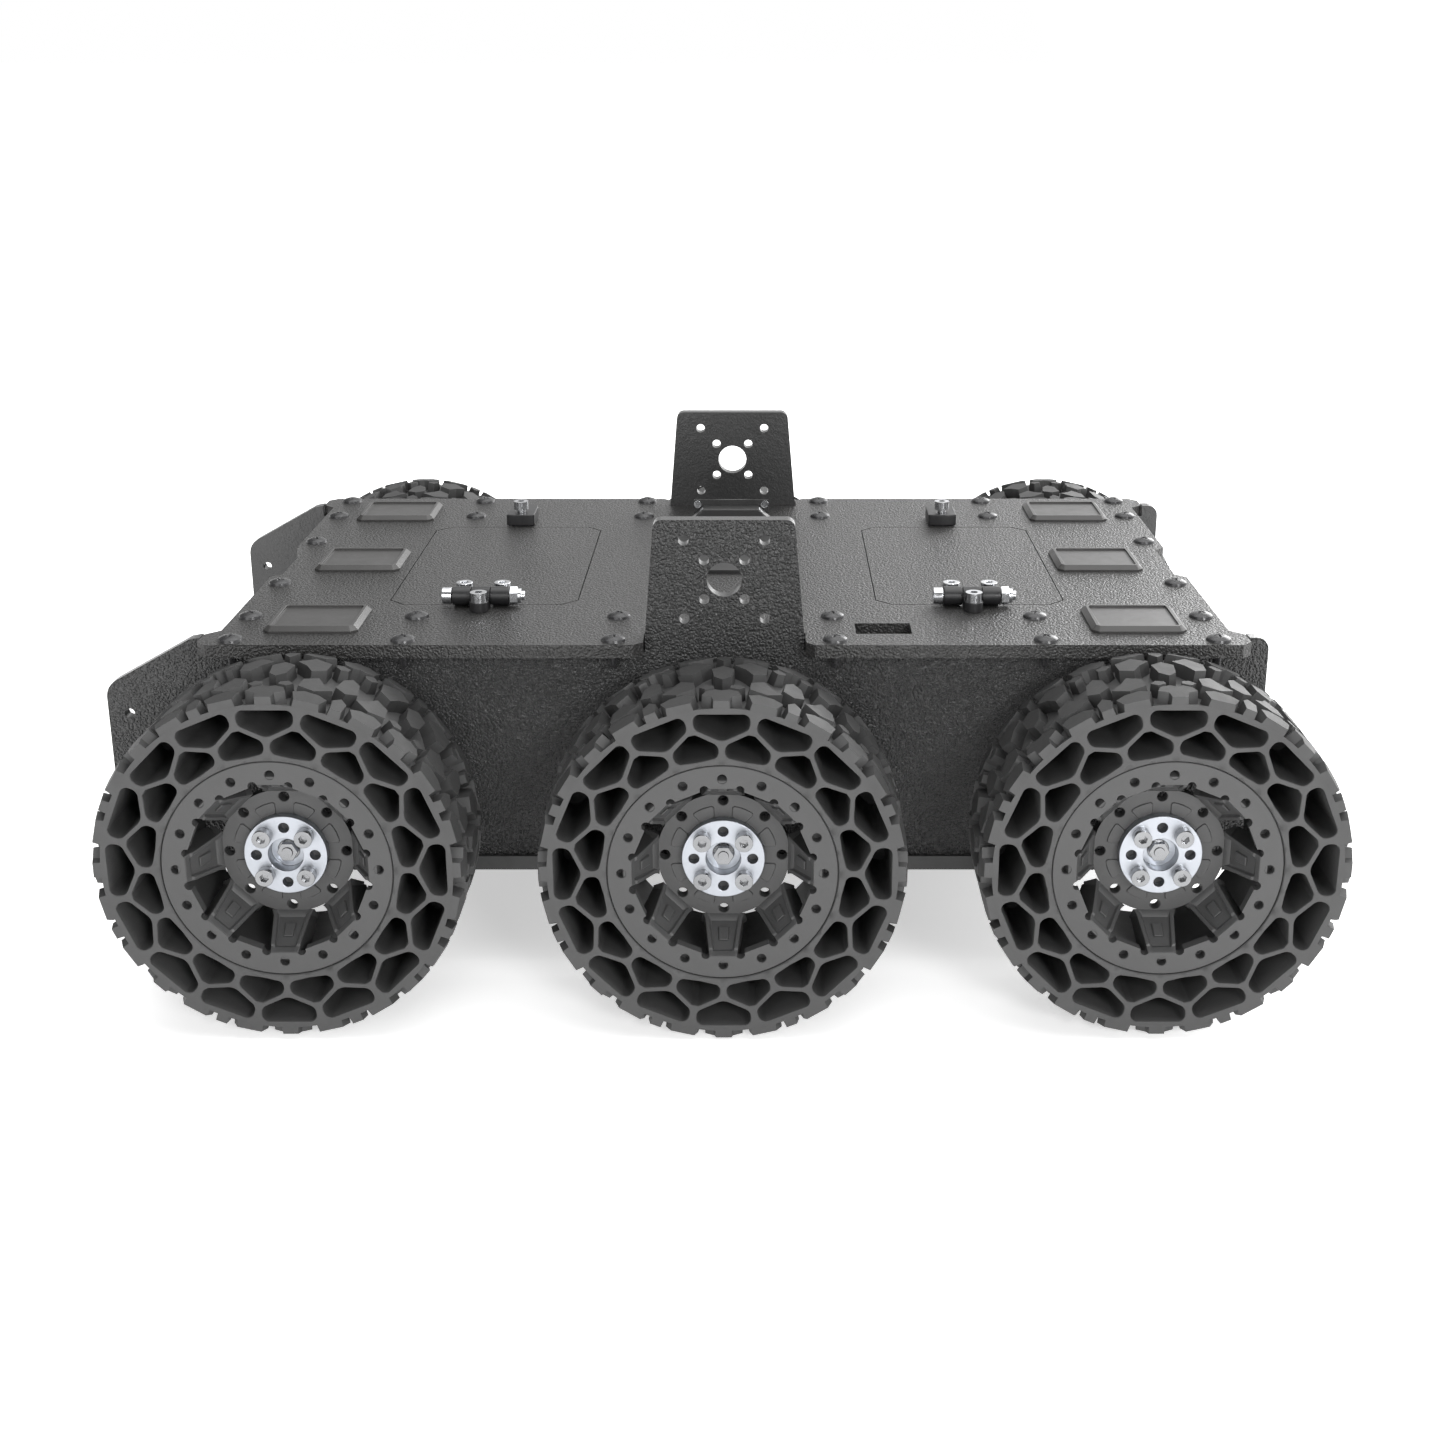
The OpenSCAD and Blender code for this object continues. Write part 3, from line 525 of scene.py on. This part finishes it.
def rim_shape(web_z):
    """web_z is the height of the web's face, below the ring's face."""
    shape = Shape()
    holes = [circle(1.8, 16, polar(38.35, 360 * k / RING_HOLES)) for k in range(RING_HOLES)]
    edge = ring_inner_edge()
    shape.sheet([circle(43.35, 128), edge] + [grown(h, SOFT) for h in holes], 0)
    for h in holes:
        shape.wall(grown(h, SOFT), 0, -SOFT, h)
        shape.wall(h, -SOFT, -RING_HOLE_DEPTH)
        shape.cap(h, -RING_HOLE_DEPTH)
    shape.wall(edge, 0, -4)
    shape.sheet([circle(41, 128), edge], -4)
    barrel = [(43.35, 0), (43.6, -0.3), (43.6, -1.0), (43.85, -1.0), (43.85, -48), (40.4, -48), (40.4, -4)]
    shape.lathe(barrel, 128)
    web_holes = [circle(2.0, 16, polar(22.6, PITCH * k)) for k in range(SPOKES)]
    web_edge, bore = circle(25.6, 96), circle(8, 32)
    web_back = web_z - WEB_THICK
    shape.sheet([web_edge, bore] + [grown(h, SOFT) for h in web_holes], web_z)
    for h in web_holes:
        shape.wall(grown(h, SOFT), web_z, web_z - SOFT, h)
        shape.wall(h, web_z - SOFT, web_back)
    shape.sheet([web_edge, bore] + web_holes, web_back)
    shape.wall(web_edge, web_z, web_back)
    shape.wall(bore, web_z, web_back)
    for k in range(SPOKES):
        outer = [polar(20.6, PITCH / 2 + a) for a in (-12, -6, 0, 6, 12)]
        pad = [polar(16.2, PITCH / 2 - 9.5)] + outer + [polar(16.2, PITCH / 2 + 9.5)]
        pad = rounded(turned(pad, PITCH * k), [0.8, 0.8, 0.1, 0.1, 0.1, 0.8, 0.8], 3)
        shape.wall(grown(pad, 0.35), web_z - 0.01, web_z + 0.5, pad)
        shape.cap(pad, web_z + 0.5)
    return shape


def spoke_shape(web_z):
    """Eight spokes that slope from the web up to the ring, each with a channel down its face."""
    shape = Shape()
    # Radius, height, half width and the channel's depth, from the web outwards.
    path = [(24.7, web_z - 0.4, 8.4, 0.0), (25.1, web_z + 0.25, 7.8, 0.0), (26.4, web_z + 2.0, 7.2, 0.9),
            (31.6, -4.6, 5.9, 1.3), (32.4, -3.0, 5.7, 1.3), (33.2, -2.6, 5.6, 0.3), (34.4, -0.35, 5.3, 0.0),
            (37.5, -0.35, 5.0, 0.0)]
    ridge = 1.5  # the width left on each side of the channel
    mark = [(27.6, -1.9), (27.6, 1.9), (30.4, 1.6), (30.4, -1.6)]  # the raised mark at a spoke's foot
    slope = (-4.6 - web_z - 2.0) / (31.6 - 26.0)
    for k in range(SPOKES):
        rows = []
        for r, z, w, d in path:
            back = (r + 5.5 if r < 30 else 40.2, z - 4.2 if r < 26 else z - 8)
            deep = (r + d, z - 0.55 * d)
            section = [(-w - 0.6, *back), (-w, r, z), (ridge - w, r, z), (ridge - w + 0.5, *deep),
                       (w - ridge - 0.5, *deep), (w - ridge, r, z), (w, r, z), (w + 0.6, *back)]
            rows.append([(*turned([Vector((rr, t))], PITCH * k)[0], zz) for t, rr, zz in section])
        for a, b in zip(rows, rows[1:]):
            shape.strip(a, b)
        shape.add(rows[0], [tuple(range(8))])
        shape.add(rows[-1], [tuple(range(8))])
        low, high = [], []
        for r, t in mark:
            z = web_z + 2.0 + (r - 26.0) * slope
            low.append((*turned([Vector((r + 1.1, t * 1.2))], PITCH * k)[0], z - 0.6))
            high.append((*turned([Vector((r + 0.55, t))], PITCH * k)[0], z - 0.3))
        shape.strip(low, high)
        shape.add(high, [(0, 1, 2, 3)])
    return shape


def set_on_axle(obj, wheel, face_y):
    """Turns a shape drawn around z so that z points out of the wheel, and puts it on the axle."""
    low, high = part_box("tyre_" + wheel)
    centre = (low + high) / 2
    side = -1 if wheel.startswith("left") else 1
    turn = Matrix.Rotation(radians(90), 4, "X")
    if side > 0:
        turn = Matrix.Rotation(pi, 4, "Z") @ turn
    obj.matrix_world = Matrix.Translation((centre.x, face_y, centre.z)) @ turn


low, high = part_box("tyre_left_front")
TYRE_WIDTH = (high.y - low.y) / MM
ring_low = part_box("rim_left_front")[0]
hub_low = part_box("hub_left_front")[0]
RING_FACE = -ring_low.y / MM
TYRE_FACE = -low.y / MM
HUB_AHEAD = 4  # how far the hub's outer face lies beyond the web's face
WEB_Z = -hub_low.y / MM - HUB_AHEAD - RING_FACE

tyre_mesh = tread_mesh = rim_mesh = spoke_mesh = None
for wheel in WHEELS:
    side = -1 if wheel.startswith("left") else 1
    body = "wheel_" + wheel
    if tyre_mesh is None:
        tyre = tyre_shape(TYRE_WIDTH).object("tyre_carcass_" + wheel, TYRE, 30)
        blocks = Shape()
        for outline in tread(TYRE_WIDTH):
            lug(blocks, outline, TYRE_WIDTH)
        treads = blocks.object("tyre_tread_" + wheel, TREAD_PAINTED_SHADE, 12)
        treads.data.materials.append(TYRE)
        # Painted shade: the blocks' tops and the faces that look round the tyre take the darker copy, and
        # only faces along the axle keep the tyre's rubber.
        for face in treads.data.polygons:
            face.material_index = 1 if abs(face.normal.z) > 0.8 else 0
        rim = rim_shape(WEB_Z).object("rim_ring_" + wheel, RIM, 30)
        spokes = spoke_shape(WEB_Z).object("rim_spokes_" + wheel, RIM, 30, 0.00025)
        tyre_mesh, tread_mesh, rim_mesh, spoke_mesh = tyre.data, treads.data, rim.data, spokes.data
    else:
        made = []
        for label, mesh, bevel in (("tyre_carcass_", tyre_mesh, 0), ("tyre_tread_", tread_mesh, 0),
                                   ("rim_ring_", rim_mesh, 0), ("rim_spokes_", spoke_mesh, 0.00025)):
            obj = bpy.data.objects.new(label + wheel, mesh)
            bpy.context.scene.collection.objects.link(obj)
            if bevel > 0:
                bevel_edges(obj, bevel, 35)
            made.append(obj)
        tyre, treads, rim, spokes = made
    pieces = [(tyre, TYRE_FACE, "tyre_", "tyre_rubber"), (treads, TYRE_FACE, "tyre_", "tyre_rubber"),
              (rim, RING_FACE, "rim_", "rim_plastic"), (spokes, RING_FACE, "rim_", "rim_plastic")]
    for obj, face, node, slot in pieces:
        set_on_axle(obj, wheel, side * face * MM)
        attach(obj, body)
        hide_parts(node + wheel)


# ---- Deck pads and deck screws ----

def island_boxes(node):
    """The boxes of the separate solids of a CAD node, lowest x first, in metres."""
    mesh = nodes[node].data
    bm = bmesh.new()
    bm.from_mesh(mesh)
    bmesh.ops.remove_doubles(bm, verts=bm.verts, dist=1e-6)
    seen, boxes = set(), []
    for v in bm.verts:
        if v in seen:
            continue
        stack, points = [v], []
        seen.add(v)
        while stack:
            u = stack.pop()
            points.append(u.co.copy())
            for e in u.link_edges:
                w = e.other_vert(u)
                if w not in seen:
                    seen.add(w)
                    stack.append(w)
        boxes.append((Vector([min(p[i] for p in points) for i in range(3)]),
                      Vector([max(p[i] for p in points) for i in range(3)])))
    bm.free()
    return sorted(boxes, key=lambda b: (round(b[0].x, 4), round(b[0].y, 4)))


def rectangle(half_x, half_y, chamfer):
    return [Vector(p) for p in [
        (half_x - chamfer, -half_y), (half_x, chamfer - half_y),
        (half_x, half_y - chamfer), (half_x - chamfer, half_y),
        (chamfer - half_x, half_y), (-half_x, half_y - chamfer),
        (-half_x, chamfer - half_y), (chamfer - half_x, -half_y)]]


pads = Shape()
for low, high in island_boxes("deck_pads"):
    centre = (low + high) / 2 / MM
    half_x, half_y = (high.x - low.x) / 2 / MM, (high.y - low.y) / 2 / MM
    z0, z1 = low.z / MM, high.z / MM
    tall = z1 - z0
    # How far in from the pad's edge, and how high: up the outside, over the rim, down to the panel.
    levels = [(0.0, 0.0), (0.0, 0.9), (1.9, tall), (3.0, tall), (3.12, tall - 0.12), (3.16, 1.95), (3.5, 1.8)]
    rows = []
    for inset, height in levels:
        loop = rounded(rectangle(half_x - inset, half_y - inset, max(0.6, 2.6 - inset * 0.6)), [0.8] * 8, 3)
        rows.append([(p.x + centre.x, p.y + centre.y, z0 + height) for p in loop])
    for a, b in zip(rows, rows[1:]):
        pads.strip(a, b)
    pads.add(rows[-1], [tuple(range(len(rows[-1])))])
obj = pads.object("deck_pad_frames", PAD, 22)
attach(obj, "chassis")
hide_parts("deck_pads")


HEAD_R = 5.0
HEAD_HEIGHT = 2.2
HEAD_EDGE = 0.55  # how high the head's edge stands
ARM_REACH, ARM_HALF_WIDTH, RECESS_DEPTH = 1.9, 0.42, 0.8


def truss_head(shape, x, y, z, turn, tip):
    """A truss-head screw with a cross recess. Its head rests at z, and its tip is at z + tip."""
    rings, count = 14, 48
    rows = []
    for i in range(rings + 1):
        r = HEAD_R * (i / rings)
        row = []
        for k in range(count):
            a = 360 * k / count
            p = polar(r, a)
            q = turned([p], -turn)[0]
            dome = 0.0
            if r < HEAD_R:
                dome = HEAD_EDGE + (HEAD_HEIGHT - HEAD_EDGE) * (1 - (r / HEAD_R) ** 2) ** 0.72
            arm = min(abs(q.x), abs(q.y))
            reach = max(abs(q.x), abs(q.y))
            if reach < ARM_REACH and arm < ARM_HALF_WIDTH:
                dome -= RECESS_DEPTH * min(1.0, (ARM_REACH - reach) / 0.4, (ARM_HALF_WIDTH - arm) / 0.15)
            row.append((x + p.x, y + p.y, z + dome))
        rows.append(row)
    for a, b in zip(rows, rows[1:]):
        shape.strip(a, b)
    shank = [(1.75, 0.1), (1.75, tip + 2.5), (0.4, tip)]
    rows = [[(p.x, p.y, z + h) for p in circle(r, 16, (x, y))] for r, h in shank]
    for a, b in zip(rows, rows[1:]):
        shape.strip(a, b)


screws = Shape()
for i, (low, high) in enumerate(island_boxes("deck_screws")):
    centre = (low + high) / 2 / MM
    length = (high.z - low.z) / MM
    turn = (i * 37) % 90  # each recess stands at its own angle
    truss_head(screws, centre.x, centre.y, high.z / MM - HEAD_HEIGHT, turn, HEAD_HEIGHT - length)
obj = screws.object("truss_screws", DARK_SCREW, 30)
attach(obj, "chassis")
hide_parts("deck_screws")


# ---- Floor, light and camera ----

bpy.ops.mesh.primitive_plane_add(size=60, location=(0, 0, 0))
floor = bpy.context.object
floor.name = "floor"
mat, tree, shader = new_material("glowing_floor_paper")
shader.inputs["Base Color"].default_value = (0.93, 0.93, 0.93, 1)
shader.inputs["Roughness"].default_value = 0.9
shader.inputs["Specular IOR Level"].default_value = 0.1
# Painted light: the floor paper glows, from half strength near the middle to nearly full further out, which
# lifts the robot's cast shadows and whitens the floor around it.
shader.inputs["Emission Color"].default_value = (1, 1, 1, 1)
away = tree.nodes.new("ShaderNodeVectorMath")
away.operation = "LENGTH"
link(tree, place(tree), away.inputs[0])
link(tree, ramp(tree, away.outputs["Value"], 0.3, 0.9, 0.5, 0.95), shader.inputs["Emission Strength"])
floor.data.materials.append(mat)

world = bpy.data.worlds.new("studio")
bpy.context.scene.world = world
world.use_nodes = True
sky = world.node_tree
sky.nodes["Background"].inputs["Color"].default_value = (1, 1, 1, 1)
coords = sky.nodes.new("ShaderNodeTexCoord")
toward = sky.nodes.new("ShaderNodeVectorMath")
toward.operation = "DOT_PRODUCT"
toward.inputs[1].default_value = Vector((0.80, 0.45, 0.40)).normalized()
link(sky, coords.outputs["Generated"], toward.inputs[0])
glow = ramp(sky, toward.outputs["Value"], 0.22, 0.88, 0.22, 1.75)
parts = sky.nodes.new("ShaderNodeSeparateXYZ")
link(sky, coords.outputs["Generated"], parts.inputs["Vector"])
horizon = ramp(sky, parts.outputs["Z"], 0.12, 0.2, 1.0, 0.0)
brighter = sky.nodes.new("ShaderNodeMath")
brighter.operation = "MAXIMUM"
link(sky, glow, brighter.inputs[0])
link(sky, horizon, brighter.inputs[1])
link(sky, brighter.outputs["Value"], sky.nodes["Background"].inputs["Strength"])


def area_light(name, where, aim, size, power):
    """A rectangular light: metres, and watts."""
    data = bpy.data.lights.new(name, "AREA")
    data.shape = "RECTANGLE"
    data.size, data.size_y = size
    data.energy = power
    obj = bpy.data.objects.new(name, data)
    bpy.context.scene.collection.objects.link(obj)
    obj.location = where
    obj.rotation_euler = (Vector(aim) - Vector(where)).to_track_quat("-Z", "Y").to_euler()


area_light("right_back", (1.5, 1.7, 0.95), (0.15, 0, 0.1), (1.7, 1.1), 34)
area_light("top", (0.1, 0.1, 2.2), (0, 0, 0), (2.6, 2.2), 36)
area_light("front", (-0.9, -2.2, 1.0), (0, 0, 0.08), (1.6, 1.0), 16)
area_light("front_right", (0.75, -1.7, 0.75), (0.08, -0.11, 0.1), (0.5, 0.35), 15)

# The view that the photo was taken from, as the fit gives it.
CAMERA_AT = (0.01962, -0.83375, 0.37048)
LENS_MM = 47.178685
SHIFT = (-0.0268858, -0.0509758)
LOOKS_DOWN = 17.86  # degrees below level
camera_data = bpy.data.cameras.new("camera")
camera = bpy.data.objects.new("camera", camera_data)
bpy.context.scene.collection.objects.link(camera)
camera_data.sensor_width = 36.0
camera_data.lens = LENS_MM
camera_data.shift_x, camera_data.shift_y = SHIFT
camera_data.clip_start = 0.01
camera.location = CAMERA_AT
camera.rotation_euler = (radians(90 - LOOKS_DOWN), 0, 0)
bpy.context.scene.camera = camera
bpy.context.scene.view_settings.view_transform = "Standard"
